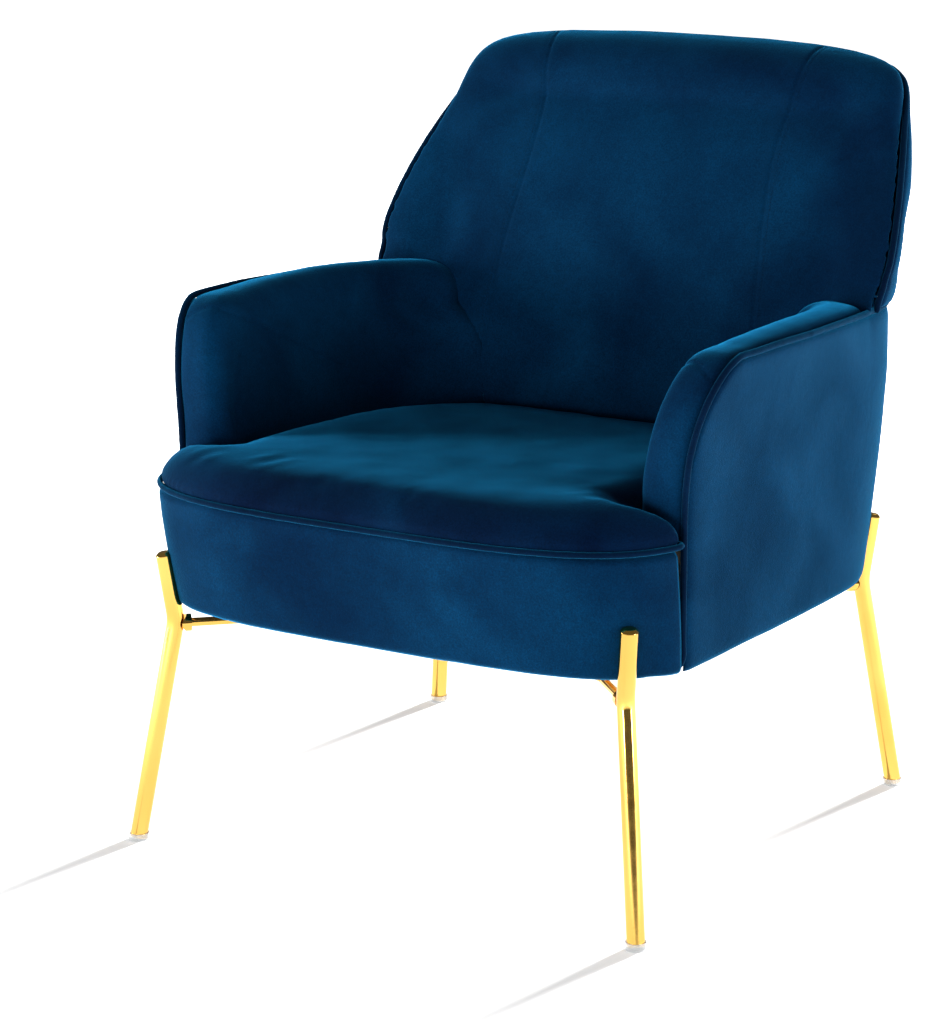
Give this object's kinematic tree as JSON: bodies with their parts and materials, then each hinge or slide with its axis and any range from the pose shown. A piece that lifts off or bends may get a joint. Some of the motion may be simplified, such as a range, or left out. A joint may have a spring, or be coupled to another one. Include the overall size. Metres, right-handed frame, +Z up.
{
  "type": "upholstered armchair",
  "caption": "Low lounge armchair in dark blue velvet with a rounded seat, welted arms, a panelled leaning back and splayed gold tube legs.",
  "frame": {"origin": "on the floor under the middle of the chair's outline", "axes": "+Z up, the front of the chair faces -Y, +X to the right seen from the front"},
  "size_m": [0.7182, 0.7875, 0.874],
  "materials": {
    "gold_metal": "polished gold plating",
    "clear_plastic": "clear",
    "steel": "zinc plated",
    "timber": "planed beech",
    "felt": "matte non-woven",
    "velvet": "short pile velvet",
    "velvet_welt": "velvet covered cord"
  },
  "bodies": {
    "root": {"leg_front_left": "gold_metal", "leg_front_right": "gold_metal", "leg_rear_left": "gold_metal", "leg_rear_right": "gold_metal", "leg_caps": "gold_metal", "glide_front_left": "clear_plastic", "glide_front_right": "clear_plastic", "glide_rear_left": "clear_plastic", "glide_rear_right": "clear_plastic", "rod_long": "gold_metal", "rod_front": "gold_metal", "rod_rear": "gold_metal", "rod_collars": "gold_metal", "standoffs": "gold_metal", "mounting_plates": "gold_metal", "frame_bolts": "steel", "bolt_washers": "steel", "rail_front": "timber", "rail_rear": "timber", "rail_left": "timber", "rail_right": "timber", "corner_blocks": "timber", "arm_frame_left": "timber", "arm_frame_right": "timber", "back_post_left": "timber", "back_post_right": "timber", "back_rail_top": "timber", "back_rail_low": "timber", "seat_springs": "steel", "spring_clips": "steel", "back_webbing": "felt", "dust_cover": "felt", "seat_cushion": "velvet", "seat_welt": "velvet_welt", "front_apron": "velvet", "arm_pad_left": "velvet", "arm_pad_right": "velvet", "side_panel_left": "velvet", "side_panel_right": "velvet", "arm_welt_left": "velvet_welt", "arm_welt_right": "velvet_welt", "back_panel_left": "velvet", "back_panel_centre": "velvet", "back_panel_right": "velvet", "back_welt": "velvet_welt", "outside_back": "velvet", "outside_back_top": "velvet"}
  },
  "joints": []
}
